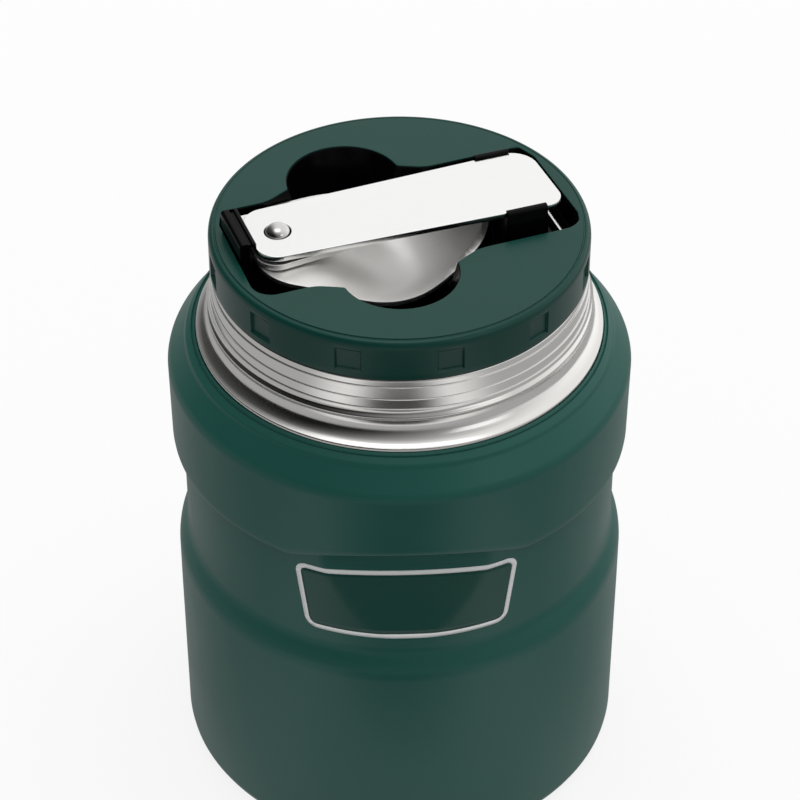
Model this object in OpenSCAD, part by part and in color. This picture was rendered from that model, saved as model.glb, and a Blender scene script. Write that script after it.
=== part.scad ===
// Vacuum-insulated food jar with a screw-in stopper that stores a folding spoon.
// Millimetres. The axis of the jar is Z, the base stands on Z = 0 and the
// badge faces -Y.

/* [Jar] */
// Height from the base to the flat top of the stopper
jar_h = 133; // [128:0.5:140]
// Width of the sloping shoulder, from the painted step to the band
shoulder_w = 5.9; // [5.2:0.1:6.6]
// Depth of the waist under the band
waist_in = 2.3; // [1.9:0.1:2.6]
// Step from the waist out to the lower body
flare = 2.2; // [1.9:0.1:2.4]
// Drop from the stopper top to the painted step round the neck
step_drop = 24; // [23.6:0.1:25]
// Drop from the stopper top to the lower edge of the shoulder band
band_drop = 50.8; // [48:0.1:54]
// Drop from the stopper top to the bottom of the waist
waist_drop = 75.2; // [73:0.1:80]
// Wall of the painted shell
shell_wall = 0.8; // [0.6:0.05:1]
// Radius of the outside bottom edge
base_round = 3; // [2:0.1:3.5]
// Width of the foot ring
foot_w = 6.4; // [4:0.1:8]
// Height of the foot ring's outer edge
foot_h = 3; // [2.8:0.1:4]
// Height of the space under the middle of the foot
foot_rise = 1.4; // [1:0.1:1.5]
// Height of the plate that closes the vacuum space
plate_z = 5; // [4.8:0.1:6]
// Thickness of that plate
plate_t = 0.8; // [0.6:0.05:1]
// Width of the flange that welds the plate to the shell
plate_lip = 2.4; // [1.5:0.1:3]

/* [Badge facet] */
// Turn of the badge facet about the jar's axis, from the front
facet_turn = 2; // [-10:0.5:10]
// Depth of the facet under the waist's surface, at its top
facet_in = 2.4; // [1.8:0.1:2.8]
// Lean of the facet from the vertical
facet_lean = 6.6; // [5:0.1:8]
// Radius of the facet's slight crown
facet_crown = 130; // [100:5:300]
// Rise of the arch that the facet cuts in the band
brow_rise = 4.5; // [3.5:0.1:5.5]

/* [Neck and liner] */
// Inside diameter of the mouth
mouth_d = 70.4; // [69.8:0.1:71]
// Width of the neck, from the mouth to the outside
neck_w = 3.1; // [3:0.1:3.4]
// Step from the neck out to the painted shell
step_w = 3.5; // [3:0.1:4]
// Wall of the liner and of the neck
liner_wall = 0.8; // [0.6:0.05:0.9]
// Gap between the liner and the waist of the shell
vacuum_w = 3.9; // [3.6:0.1:4.8]
// Radius of the liner's bottom edge
floor_round = 8; // [5:0.5:10]
// Height of the throat above the top of the food cavity
throat_h = 8; // [6:0.5:10]
// Drop from the stopper top to the bottom of the throat
throat_drop = 33; // [32:0.1:35]
// Height of the inside bottom above the base
floor_h = 11; // [10.5:0.1:14]
// Radius of the rolled thread ridge's section
ridge_r = 1; // [0.8:0.05:1.1]
// Slant of the ridge, as one turn of its thread
ridge_slant = 0.6; // [0:0.1:0.9]
// Thickness of the heat-reflecting foil
foil_t = 0.2; // [0.1:0.05:0.25]
// Gap between the foil and the liner
foil_gap = 0.3; // [0.2:0.05:0.4]
// Distance of the foil from the corners of the liner
foil_end = 1; // [0.5:0.1:3]
// Distance of the getter from the jar's axis
getter_x = 20; // [12:0.5:26]
// Radius of the getter
getter_r = 4; // [3:0.1:5]
// Thickness of the getter
getter_t = 1.6; // [1:0.1:2]
// Thickness of the strap that holds the getter
strap_t = 0.4; // [0.3:0.05:0.5]
// Width of the strap
strap_w = 3; // [2:0.1:4]
// Length of each end of the strap, where it is welded on
strap_end = 3; // [2:0.1:4]

/* [Stopper] */
// Height of the stopper's visible side
side_h = 9.2; // [9:0.1:10]
// Width of the sloping edge round the flat top
edge_w = 2.1; // [1.5:0.1:2.6]
// Drop of the sloping edge
edge_drop = 0.4; // [0.3:0.05:0.8]
// Number of grip notches round the side
grips = 12; // [6:1:16]
// Width of a grip notch
grip_w = 5.4; // [4:0.1:7]
// Depth of a grip notch
grip_t = 0.6; // [0.4:0.05:0.7]
// Wall of the green cap
cap_wall = 1.3; // [1.1:0.05:1.6]
// Depth of the threaded plug below the flange
plug_depth = 20.8; // [19:0.1:22]
// Gap between the plug and the mouth
plug_gap = 0.8; // [0.6:0.05:1]
// Wall of the plug
plug_wall = 1.8; // [1.4:0.1:2.2]
// Thickness of the plug's bottom
plug_end = 2; // [1.8:0.1:2.4]
// Gap between parts that move past each other
run_gap = 0.3; // [0.25:0.01:0.35]
// Gap between parts that are fixed together
fit_gap = 0.05; // [0.02:0.01:0.08]

/* [Spoon recess] */
// Turn of the recess from the X axis
slot_turn = 20.5; // [0:0.5:45]
// Offset of the recess along its length
slot_x = 0.3; // [0:0.1:0.4]
// Offset of the recess across its length
slot_y = 1.45; // [0:0.05:1.5]
// Distance from the stopper's edge to the end of the recess
slot_end = 3.9; // [3.7:0.1:4.2]
// Width of the recess
slot_w = 29.1; // [28.6:0.1:29.6]
// Corner radius of the recess
slot_r = 4.2; // [4:0.1:5]
// Depth of the recess at its ends
slot_depth = 6; // [5.7:0.05:6.2]
// Radius of a finger pit
pit_r = 11.65; // [11:0.05:11.8]
// Distance of the pits from the middle of the recess, along it
pit_x = -5.7; // [-7:0.1:-4]
// Distance from the wall of the mouth to the far pit
pit_end = 5.8; // [5.5:0.1:6.3]
// Length of the slanted lead from the straight side into a pit
pit_lead = 5.3; // [4:0.1:6]
// Slant of that lead
pit_slant = 26; // [22:0.5:28]
// Wall of the tray in the recess
tray_wall = 1.2; // [1:0.05:1.3]

/* [Spoon] */
// Height of the handle's top over the stopper
handle_rise = 3.5; // [3.3:0.05:3.8]
// Thickness of the handle
handle_t = 1.2; // [1:0.05:1.4]
// Room for the latch, between the handle and the end of the recess
latch_room = 3.3; // [3.2:0.05:3.6]
// Room past the handle's free end
tip_room = 2.7; // [2.4:0.05:3]
// Width of the handle at the rivet end
handle_w1 = 16.4; // [15.6:0.1:17]
// Width of the handle at the free end
handle_w2 = 19.5; // [18.5:0.1:19.8]
// Corner radius of the handle
handle_r = 4.5; // [3.5:0.1:5]
// Turn of the stored handle from the line of the recess
handle_turn = -1; // [-1.4:0.1:0.2]
// Distance of the rivet from the handle's end
rivet_in = 5.7; // [5.2:0.1:6.2]
// Radius of the rivet's domed head
rivet_head = 2.4; // [2.2:0.05:2.7]
// Thickness of the leaf under the handle
leaf_t = 1.3; // [1:0.05:1.4]
// Width of the leaf at the rivet end
leaf_w1 = 17; // [16:0.1:18]
// Width of the leaf near its nose
leaf_w2 = 13.4; // [12:0.1:14]
// Thickness of the spoon's sheet
bowl_t = 1; // [0.8:0.05:1.1]
// Radius of the wide end of the bowl
bowl_r1 = 19.1; // [18:0.1:19.2]
// Radius of the tip of the bowl
bowl_r2 = 12.5; // [11.5:0.1:13]
// Distance between those two radii
bowl_l = 13.5; // [12:0.1:14]
// Radius of the bowl's corners at the rivet end
bowl_r3 = 8.8; // [7:0.1:9]
// Radius of the bowl's hollow
bowl_sphere = 38; // [36.5:0.5:40]
// Depth of the bowl's inside below the stopper top
bowl_depth = 9.8; // [9.4:0.05:10]

/* [Catches] */
// Length of the end latch
latch_l = 12.4; // [10:0.1:13]
// Offset of the end latch across the recess
latch_y = 2.9; // [0:0.1:3.1]
// Height of the catches over the stopper
catch_rise = 4.1; // [4:0.05:4.5]
// Overlap of a side catch on the handle
catch_bite = 0.45; // [0.3:0.05:0.7]
// Height of the latch over the stopper
latch_rise = 4.5; // [4.3:0.05:4.8]
// Overlap of the latch on the handle
latch_bite = 0.3; // [0.2:0.05:0.6]
// Thickness of the end latch
latch_t = 1.3; // [1.1:0.05:1.35]
// Length of a side catch
clip_l = 8.5; // [7:0.1:9.5]
// Thickness of a side catch
clip_t = 1.2; // [1:0.05:1.3]
// Distance of the side catches from the handle's free end
clip_in = 8.2; // [7.6:0.1:8.8]
// Thickness of the lift spring
spring_t = 1.1; // [0.8:0.05:1.2]
// Height of the lift spring
spring_h = 1.4; // [1:0.1:1.8]

/* [Hidden] */
$fn = 96;

green = [0.13, 0.26, 0.24];
steel = [0.78, 0.78, 0.77];
black = [0.04, 0.04, 0.045];

mouth_r = mouth_d/2;
liner_r = mouth_r + liner_wall;
neck_r = mouth_r + neck_w;
stopper_r = neck_r - 0.1;
step_r = neck_r + step_w;
band_r = step_r + shoulder_w;
waist_r = band_r - waist_in;
body_r = waist_r + flare;
cavity_r = waist_r - shell_wall - vacuum_w - liner_wall;
rim_z = jar_h - side_h - 0.2;
step_z = jar_h - step_drop;
band_z = jar_h - band_drop;
waist_z = jar_h - waist_drop;
ledge = 1.41;
throat_z = jar_h - throat_drop;
lid_z = 0.8;
foot_r = body_r - base_round - 0.8;
cap_wall_r = stopper_r - cap_wall;
seal_r = mouth_r + 0.3;
seal_w = 1;
flange_z = rim_z + 0.3;
tray_floor = 1;
flange_t = jar_h - slot_depth - tray_floor - fit_gap - flange_z;
plug_r = mouth_r - plug_gap;
plug_z = flange_z - plug_depth + 1.6;
tray_z = -bowl_depth - bowl_t - 0.15;
slot_l = 2*(stopper_r - slot_end);
pit_y = mouth_r - slot_y - pit_r - pit_end;
handle_end = latch_room - slot_l/2;
handle_tip = slot_l/2 - tip_room;
handle_l = handle_tip - handle_end;
rivet_x = handle_end + rivet_in;
clip_x = handle_tip - clip_in;
handle_z = handle_rise - handle_t;
washer_t = 0.5;
leaf_z = handle_z - washer_t - fit_gap;
lug_z = leaf_z - leaf_t - fit_gap;
lug_r = 5.2;
bowl_x = -7.5;
leaf_r = 4.4;
nose_x = -10.5;
shank_r = 1.5;

// Outside and, with g > 0, inside of the painted shell
module shell_form(g, bottom) {
  difference() {
    rotate_extrude() polygon([
      [0, bottom],
      [body_r - base_round, bottom],
      for (a = [10:10:80]) [body_r - base_round + (base_round - g)*sin(a),
                            bottom + (base_round - g)*(1 - cos(a))],
      [body_r - g, bottom + base_round - g],
      [body_r - 0.1 - g, waist_z - 2*flare],
      [waist_r + 0.68*flare - g, waist_z - 1.36*flare],
      [waist_r - g, waist_z],
      [waist_r - g, band_z - 2/ledge],
      [band_r - 0.35 - g, band_z - g],
      [band_r - 0.1 - g, band_z + 0.3 - g],
      [band_r - g, step_z - 8 - g],
      [band_r - 0.3 - g, step_z - 7 - g],
      [step_r + 2.3 - g, step_z - 2.4 - g],
      [step_r + 2.05 - g, step_z - 1.7 - g],
      [step_r, step_z - g],
      [0, step_z - g]]);
    badge_cut(g);
  }
}

// Wedge in front of the badge facet and under the arched edge of the band
module badge_cut(g) {
  rotate([0, 0, facet_turn]) difference() {
    translate([-band_r, -2*band_r, waist_z - 6])
      cube([2*band_r, 1.4*band_r, band_z + brow_rise - waist_z + 6 + 4]);
    translate([0, facet_crown - waist_r + facet_in + g, band_z]) rotate([-facet_lean, 0, 0])
      cylinder(r = facet_crown, h = jar_h, center = true, $fn = 180);
    translate([0, -band_r, band_z + brow_rise + g]) rotate([-atan(1/ledge), 0, 0])
      translate([-2*band_r, -2*band_r, 0]) cube([4*band_r, 4*band_r, jar_h]);
  }
}

module outer_shell() color(green) difference() {
  shell_form(0, lid_z);
  difference() {
    shell_form(shell_wall, lid_z + shell_wall);
    translate([0, 0, -1]) difference() {
      cylinder(r = 1.3*body_r, h = 1 + lid_z + shell_wall);
      cylinder(r = body_r - base_round, h = 1 + lid_z + shell_wall);
    }
  }
  translate([0, 0, -1]) cylinder(r = body_r - base_round, h = 5);
  translate([0, 0, step_z - 5]) cylinder(r = step_r, h = 10);
}

// Bare neck: rim, rolled thread ridge and the bead it stands on
module neck_ring() color(steel) difference() {
  union() {
    rotate_extrude() polygon([
      [liner_r, rim_z - 1], [liner_r, rim_z], [neck_r - 0.3, rim_z],
      [neck_r, rim_z - 0.3], [neck_r + 0.05, rim_z - 1.7],
      [neck_r - 0.2, rim_z - 1.9], [neck_r - 0.1, rim_z - 5],
      [neck_r + 0.15, rim_z - 7], [neck_r + 1, rim_z - 9],
      [neck_r + 1.1, step_z + 1.7], [neck_r + 1.7, step_z + 0.7],
      [step_r - 0.9, step_z + 0.15], [step_r - fit_gap, step_z - 0.2],
      [step_r - fit_gap, step_z - 1], [neck_r + 1, step_z - 1],
      [neck_r - 0.9, step_z + 1.6], [neck_r - 0.9, rim_z - 1]]);
    intersection() {
      translate([0, 0, jar_h - 17.5]) rotate([0, -ridge_slant, 0])
        rotate_extrude() translate([neck_r + 1, 0]) circle(ridge_r);
      difference() {
        translate([0, 0, jar_h - 22]) cylinder(r = neck_r + 4, h = 10);
        translate([0, 0, jar_h - 22]) cylinder(r = neck_r - 0.4, h = 10);
      }
    }
  }
}

// Deep-drawn liner that holds the food
module inner_liner() color(steel) rotate_extrude() difference() {
  polygon(liner_line(liner_wall));
  polygon(liner_line(0));
}

function liner_line(g) = [
  [0, floor_h - g],
  [cavity_r - floor_round, floor_h - g],
  for (a = [10:10:80]) [cavity_r - floor_round + (floor_round + g)*sin(a),
                        floor_h + floor_round - (floor_round + g)*cos(a)],
  [cavity_r + g, floor_h + floor_round],
  [cavity_r + g, throat_z - throat_h + g],
  [mouth_r + g, throat_z + g],
  [mouth_r + g, g > 0 ? rim_z : rim_z + 1],
  [0, g > 0 ? rim_z : rim_z + 1]];

module heat_foil() color([0.8, 0.5, 0.3]) rotate_extrude()
  translate([cavity_r + liner_wall + foil_gap, floor_h + floor_round + foil_end])
    square([foil_t, throat_z - throat_h - floor_h - floor_round - 3*foil_end]);

// Plate that closes the vacuum space, with the hole it is pumped through
module vacuum_bottom() color(steel) difference() {
  rotate_extrude() polygon([
    [0, plate_z - 0.6], [6, plate_z - 0.6], [10, plate_z],
    [body_r - shell_wall - plate_t, plate_z],
    [body_r - shell_wall - fit_gap, plate_z + 0.6],
    [body_r - shell_wall - fit_gap, plate_z + plate_lip],
    [body_r - shell_wall - plate_t, plate_z + plate_lip],
    [body_r - shell_wall - plate_t, plate_z + plate_t],
    [10, plate_z + plate_t], [6, plate_z + plate_t - 0.6], [0, plate_z + plate_t - 0.6]]);
  cylinder(r = 1.5, h = 2*plate_z + 10);
}

module seal_bead() color([0.35, 0.3, 0.25]) translate([0, 0, plate_z - 1.8])
  cylinder(r1 = 2.4, r2 = 3, h = 1.2 - fit_gap/2);

module getter() color([0.5, 0.5, 0.52])
  translate([getter_x, 0, floor_h - liner_wall - getter_t - fit_gap])
    cylinder(r = getter_r, h = getter_t);

// Strap spot-welded under the liner to hold the getter
module getter_clip() color(steel)
  translate([getter_x, 0, floor_h - liner_wall]) rotate([90, 0, 0]) {
    a = getter_r + 0.6;
    b = a + strap_t;
    e = b + strap_end;
    z = -getter_t - 0.2;
    linear_extrude(strap_w, center = true) polygon([
      [-e, -fit_gap], [-a, -fit_gap], [-a, z], [a, z],
      [a, -fit_gap], [e, -fit_gap], [e, -strap_t], [b, -strap_t],
      [b, z - strap_t], [-b, z - strap_t], [-b, -strap_t], [-e, -strap_t]]);
  }

// Foot: a ring to stand on with a raised middle
module base_cap() color([0.1, 0.2, 0.18]) rotate_extrude() polygon([
  [0, foot_rise], [foot_r - foot_w - foot_rise, foot_rise], [foot_r - foot_w, 0],
  [foot_r, 0], [foot_r + 0.7, 0.7], [foot_r + 0.7, foot_h - 1], [foot_r + 1.6, foot_h - 1],
  [foot_r + 1.6, foot_h], [foot_r - foot_w - foot_rise + 1, foot_h],
  [foot_r - foot_w - foot_rise, foot_rise + 1], [0, foot_rise + 1]]);

module rim_gasket() color([0.75, 0.77, 0.78]) rotate_extrude() polygon([
  [seal_r, rim_z + 0.05], [seal_r + seal_w, rim_z + 0.05],
  [seal_r + seal_w, flange_z + 0.8], [seal_r, flange_z + 0.8]]);

// Outline of the spoon recess, grown by g
module slot_line(g = 0) {
  l = slot_l + 2*g;
  w = slot_w + 2*g;
  r = slot_r + g;
  square([l - 2*r, w], center = true);
  square([l, w - 2*r], center = true);
  for (i = [-1, 1], j = [-1, 1]) translate([i*(l/2 - r), j*(w/2 - r)]) circle(r);
  for (j = [0, 1]) mirror([0, j]) pit_line(g);
}

// One finger pit with the slanted leads that run into the straight side
module pit_line(g = 0) {
  y = slot_w/2 + pit_lead*tan(pit_slant) + g*(1 - sin(pit_slant))/cos(pit_slant);
  x = pit_r + g - 0.08;
  far = pit_r + pit_lead + g/sin(pit_slant);
  translate([pit_x, 0]) {
    translate([0, pit_y]) circle(pit_r + g);
    polygon([[-far, 0], [far, 0], [far, slot_w/2], [x, y], [-x, y], [-far, slot_w/2]]);
  }
}

module in_slot() translate([0, 0, jar_h]) rotate([0, 0, slot_turn])
  translate([slot_x, slot_y, 0]) children();

// Recess outline kept inside radius r of the stopper
module slot_area(g, r) intersection() {
  translate([slot_x, slot_y]) slot_line(g);
  circle(r);
}

module slot_cut(z, h, g, r) translate([0, 0, jar_h + z]) rotate([0, 0, slot_turn])
  linear_extrude(h) slot_area(g, r);

// Green cap with grip notches; its thin lip hides the edge of the tray
module stopper_cap() color(green) difference() {
  rotate_extrude() polygon([
    [0, jar_h - side_h], [stopper_r - 0.2, jar_h - side_h],
    [stopper_r, jar_h - side_h + 0.2], [stopper_r, jar_h - edge_drop - 0.35],
    [stopper_r - 0.3, jar_h - edge_drop], [stopper_r - edge_w, jar_h], [0, jar_h]]);
  translate([0, 0, jar_h - side_h - 1]) cylinder(r = cap_wall_r, h = side_h - 1);
  slot_cut(-5, 6, 0, stopper_r - edge_w - 0.1);
  slot_cut(-5, 4.5, tray_wall + fit_gap, cap_wall_r - 0.04);
  for (i = [0:grips - 1]) rotate([0, 0, (i + 0.5)*360/grips])
    translate([stopper_r - grip_t, 0, jar_h]) rotate([90, 0, 0])
      linear_extrude(grip_w, center = true)
        polygon([[0, -7.7], [0, -3.4], [grip_t + 0.1, -2.3 - fit_gap],
                 [2, -2.3], [2, -7.7]]);
}

// Outline of the bowl
module spoon_line() hull() {
  for (j = [-1, 1]) translate([handle_end + 0.1 + bowl_r3, j*(13.7 - bowl_r3)]) circle(bowl_r3);
  translate([bowl_x, 0]) circle(bowl_r1);
  translate([bowl_x + bowl_l, 0]) circle(bowl_r2);
}

// Deep part of the recess: finger pits joined by the room for the bowl
module well_line(g = 0) {
  intersection() {
    hull() {
      translate([bowl_x, 0]) circle(bowl_r1 + 0.8 + g);
      translate([bowl_x + bowl_l, 0]) circle(bowl_r2 + 0.8 + g);
    }
    slot_line(g);
  }
  for (j = [-1, 1]) translate([pit_x, j*pit_y]) circle(pit_r + g);
}

// Black tray that lines the recess
module spoon_tray() color(black) difference() {
  union() {
    slot_cut(-slot_depth - tray_floor, slot_depth + tray_floor - 0.5 - fit_gap,
             tray_wall, cap_wall_r - 0.1);
    in_slot() translate([0, 0, tray_z - tray_floor])
      linear_extrude(-tray_z - slot_depth + tray_floor) well_line(tray_wall);
  }
  slot_cut(-slot_depth, slot_depth + 1, 0, stopper_r - edge_w - 0.1);
  in_slot() translate([0, 0, tray_z]) linear_extrude(-tray_z) well_line(0);
}

// Flexible side catch; side is 1 for the far edge and -1 for the near edge
module side_catch(side) {
  half = (handle_w1 + (handle_w2 - handle_w1)*(clip_x - handle_end)/handle_l)/2;
  y = half + run_gap;
  in_slot() translate([rivet_x, 0, 0]) rotate([0, 0, handle_turn])
    translate([clip_x - rivet_x, 0, 0]) rotate([90, 0, 90])
      linear_extrude(clip_l, center = true) scale([side, 1]) polygon([
        [y, -slot_depth + fit_gap], [y + clip_t + 0.3, -slot_depth + fit_gap],
        [y + clip_t, 0], [y + clip_t/2, catch_rise - 0.3],
        [y + clip_t/2 - 0.3, catch_rise], [half - catch_bite + 0.2, catch_rise],
        [half - catch_bite, handle_rise + 0.4], [half - catch_bite, handle_rise + 0.15],
        [y, handle_rise + 0.15]]);
}

module side_catch_near() color(black) side_catch(-1);
module side_catch_far() color(black) side_catch(1);

// Steel leaf that tips the handle's free end up when it is let go
module lift_spring() color(steel) in_slot()
  translate([handle_tip - 0.7, -handle_w2/2 + 0.25, -slot_depth + fit_gap])
    cube([spring_t, handle_w2 - 0.5, spring_h]);

// Latch hooked over the handle's end; it bends about its round foot, and its
// grooved head leans over the edge of the recess
module end_latch() color(black) in_slot() translate([0, latch_y, 0])
  rotate([90, 0, 0]) linear_extrude(latch_l, center = true) {
    x = handle_end - run_gap;
    tip = handle_end + latch_bite;
    polygon([[x - 0.9 - latch_t, -slot_depth + 0.8], [x - 0.9, -slot_depth + 0.8],
      [x - 0.6, handle_rise + 0.15], [tip, handle_rise + 0.15],
      [tip, handle_rise + 0.5], [tip - 0.2, latch_rise - 0.2], [tip - 0.8, latch_rise - 0.2],
      [tip - 0.9, latch_rise - 0.7], [tip - 1.7, latch_rise - 0.7],
      [tip - 1.8, latch_rise], [tip - 3, latch_rise], [tip - 3.5, latch_rise - 0.5],
      [tip - 3.5, 0.5], [x - 0.9 - latch_t, 0.3]]);
    translate([x - 1.55, -slot_depth + 0.05 + 0.75]) circle(0.75);
  }

// Plug that screws into the mouth, with the flange that carries the cap
module stopper_core() color(black) rotate_extrude() difference() {
  union() {
    translate([plug_r - plug_wall, flange_z]) square([cap_wall_r - fit_gap - plug_r + plug_wall, flange_t]);
    translate([plug_r - plug_wall, plug_z]) square([plug_wall, flange_z + flange_t - plug_z]);
  }
  translate([seal_r - fit_gap, flange_z - 1]) square([seal_w + 2*fit_gap, 1.8 + fit_gap]);
}

module insulation() color([0.93, 0.93, 0.9]) translate([0, 0, plug_z + fit_gap])
  cylinder(r = plug_r - plug_wall - fit_gap, h = jar_h + tray_z - tray_floor - plug_z - 2*fit_gap);

// Plug's bottom, with the groove of the lower seal
module plug_base() color(black) rotate_extrude() polygon([
  [0, plug_z - plug_end], [plug_r - 1, plug_z - plug_end], [plug_r, plug_z - 1.4],
  [plug_r - 1.4, plug_z - 1.4], [plug_r - 1.4, plug_z - 0.5],
  [plug_r, plug_z - 0.5], [plug_r, plug_z - fit_gap/2], [0, plug_z - fit_gap/2]]);

module plug_gasket() color([0.75, 0.77, 0.78]) rotate_extrude() polygon([
  [plug_r - 1.4 + fit_gap, plug_z - 1.35], [plug_r, plug_z - 1.35],
  [mouth_r - run_gap, plug_z - 1.1], [mouth_r - run_gap, plug_z - 0.8],
  [plug_r, plug_z - 0.55], [plug_r - 1.4 + fit_gap, plug_z - 0.55]]);

// Space under the spoon's top face (drop = 0) or under its bottom face
module under_spoon(drop) difference() {
  translate([0, 0, -20 - drop]) cylinder(r = 50 + drop, h = 20 + lug_z);
  difference() {
    translate([bowl_x, 0, bowl_sphere - bowl_depth]) sphere(bowl_sphere + drop);
    translate([rivet_x, 0, lug_z - drop - 7])
      cylinder(r1 = lug_r + 7, r2 = lug_r, h = 7.001);
  }
}

// Bowl of the spoon, pressed from one sheet with a lug for the rivet
module spoon_bowl() color(steel) in_slot() difference() {
  intersection() {
    translate([0, 0, -18]) linear_extrude(22) spoon_line();
    under_spoon(0);
  }
  under_spoon(bowl_t);
  translate([rivet_x, 0, -9]) cylinder(r = shank_r + 0.02, h = 20);
}

// Flat leaf between the lug and the handle, with the stop for the open handle
module tang_leaf() color(steel) in_slot() translate([0, 0, leaf_z - leaf_t]) difference() {
  linear_extrude(leaf_t) {
    hull() for (j = [-1, 1]) {
      translate([handle_end - 0.3 + leaf_r, j*(leaf_w1/2 - leaf_r)]) circle(leaf_r);
      translate([nose_x, j*(leaf_w2/2 - leaf_r)]) circle(leaf_r);
    }
    polygon([[handle_end, 4], [handle_end + 4, 4], [handle_end + 3.8, leaf_w1/2],
      [handle_end + 2.9, leaf_w1/2 + 1.2], [handle_end + 0.3, leaf_w1/2 + 1.2]]);
  }
  translate([rivet_x, 0, -1]) cylinder(r = shank_r + 0.02, h = 5);
}

module pivot_washer() color(black) in_slot() translate([rivet_x, 0, leaf_z + fit_gap/2])
  difference() {
    cylinder(r = 4.5, h = washer_t);
    translate([0, 0, -1]) cylinder(r = shank_r + fit_gap, h = 3);
  }

// Rivet that joins the handle to the leaf and the bowl
module pivot_rivet() color(steel) in_slot() translate([rivet_x, 0, 0]) {
  translate([0, 0, lug_z - bowl_t - 0.3]) cylinder(r = shank_r, h = handle_rise - lug_z + bowl_t + 0.7);
  translate([0, 0, lug_z - bowl_t - 0.6]) cylinder(r = rivet_head - 0.2, h = 0.6 - fit_gap/2);
  translate([0, 0, handle_rise + fit_gap]) intersection() {
    cylinder(r = rivet_head, h = 1);
    translate([0, 0, 0.9 - 3.65]) sphere(3.65);
  }
}

module spoon_handle() color(steel) in_slot() translate([rivet_x, 0, handle_z])
  rotate([0, 0, handle_turn]) difference() {
    linear_extrude(handle_t) hull() for (j = [-1, 1]) {
      translate([handle_r - rivet_in, j*(handle_w1/2 - handle_r)]) circle(handle_r);
      translate([handle_l - handle_r - rivet_in, j*(handle_w2/2 - handle_r)]) circle(handle_r);
    }
    translate([0, 0, -1]) cylinder(r = shank_r + run_gap, h = 5);
  }

outer_shell();
neck_ring();
inner_liner();
heat_foil();
vacuum_bottom();
seal_bead();
getter();
getter_clip();
base_cap();
rim_gasket();
stopper_cap();
spoon_tray();
side_catch_near();
side_catch_far();
lift_spring();
stopper_core();
insulation();
plug_base();
plug_gasket();
end_latch();
spoon_bowl();
tang_leaf();
pivot_washer();
pivot_rivet();
spoon_handle();
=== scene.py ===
import bmesh
import bpy
import math
from mathutils import Matrix, Vector


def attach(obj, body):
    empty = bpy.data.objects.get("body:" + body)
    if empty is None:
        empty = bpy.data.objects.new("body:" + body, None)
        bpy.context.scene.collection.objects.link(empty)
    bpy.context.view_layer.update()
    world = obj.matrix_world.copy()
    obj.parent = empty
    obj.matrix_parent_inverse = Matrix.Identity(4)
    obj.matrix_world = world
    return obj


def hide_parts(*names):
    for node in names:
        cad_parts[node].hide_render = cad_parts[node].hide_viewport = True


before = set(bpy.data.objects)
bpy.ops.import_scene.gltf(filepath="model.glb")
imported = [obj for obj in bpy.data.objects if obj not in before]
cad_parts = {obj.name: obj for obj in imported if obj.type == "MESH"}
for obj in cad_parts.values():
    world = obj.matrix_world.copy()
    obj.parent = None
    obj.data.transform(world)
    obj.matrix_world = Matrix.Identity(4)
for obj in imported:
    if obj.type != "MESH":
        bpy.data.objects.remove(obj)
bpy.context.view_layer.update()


# Studio: a pale floor under soft light from all round, brightest high up
# behind the jar, with one large lamp above and a smaller one behind. The
# camera looks down on the jar with a long lens.
scene = bpy.context.scene
scene.view_settings.view_transform = "Standard"
lens = bpy.data.cameras.new("camera")
lens.lens = 129.9
lens.sensor_width = 36.0
lens.clip_start = 0.02
lens.clip_end = 20.0
looking_down = 0.700888
camera = bpy.data.objects.new("camera", lens)
camera.location = (0.0001, -0.46172, 0.47651)
camera.rotation_euler = (math.pi/2 - looking_down, 0.0, 0.0)
scene.collection.objects.link(camera)
scene.camera = camera


def adder(tree):
    """Returns a shortcut that adds a shader node to a tree and sets its values by name."""
    def add(kind, **values):
        node = tree.nodes.new("ShaderNode" + kind)
        for key, value in values.items():
            if hasattr(node, key):
                setattr(node, key, value)
            else:
                node.inputs[key.replace("_", " ")].default_value = value
        return node
    return add


def nodes_of(material):
    """Empties a material's node tree and returns it with a shortcut that adds nodes."""
    material.use_nodes = True
    tree = material.node_tree
    tree.nodes.clear()
    return tree, adder(tree)


def camera_rays(add):
    """A factor of 1 for what the camera sees directly."""
    return add("LightPath").outputs["Is Camera Ray"]


def mirrored_rays(tree, add):
    """A factor of 1 for mirrored and refracted rays."""
    path = add("LightPath")
    mirrored = add("Math", operation="MAXIMUM")
    tree.links.new(path.outputs["Is Glossy Ray"], mirrored.inputs[0])
    tree.links.new(path.outputs["Is Transmission Ray"], mirrored.inputs[1])
    return mirrored.outputs[0]


def mixed(tree, add, factor, first, second):
    """Mixes two shaders by a factor."""
    mix = add("MixShader")
    tree.links.new(factor, mix.inputs[0])
    tree.links.new(first.outputs[0], mix.inputs[1])
    tree.links.new(second.outputs[0], mix.inputs[2])
    return mix


world = bpy.data.worlds.new("studio")
scene.world = world
world.cycles.sampling_method = "NONE"
tree, add = nodes_of(world)


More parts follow.
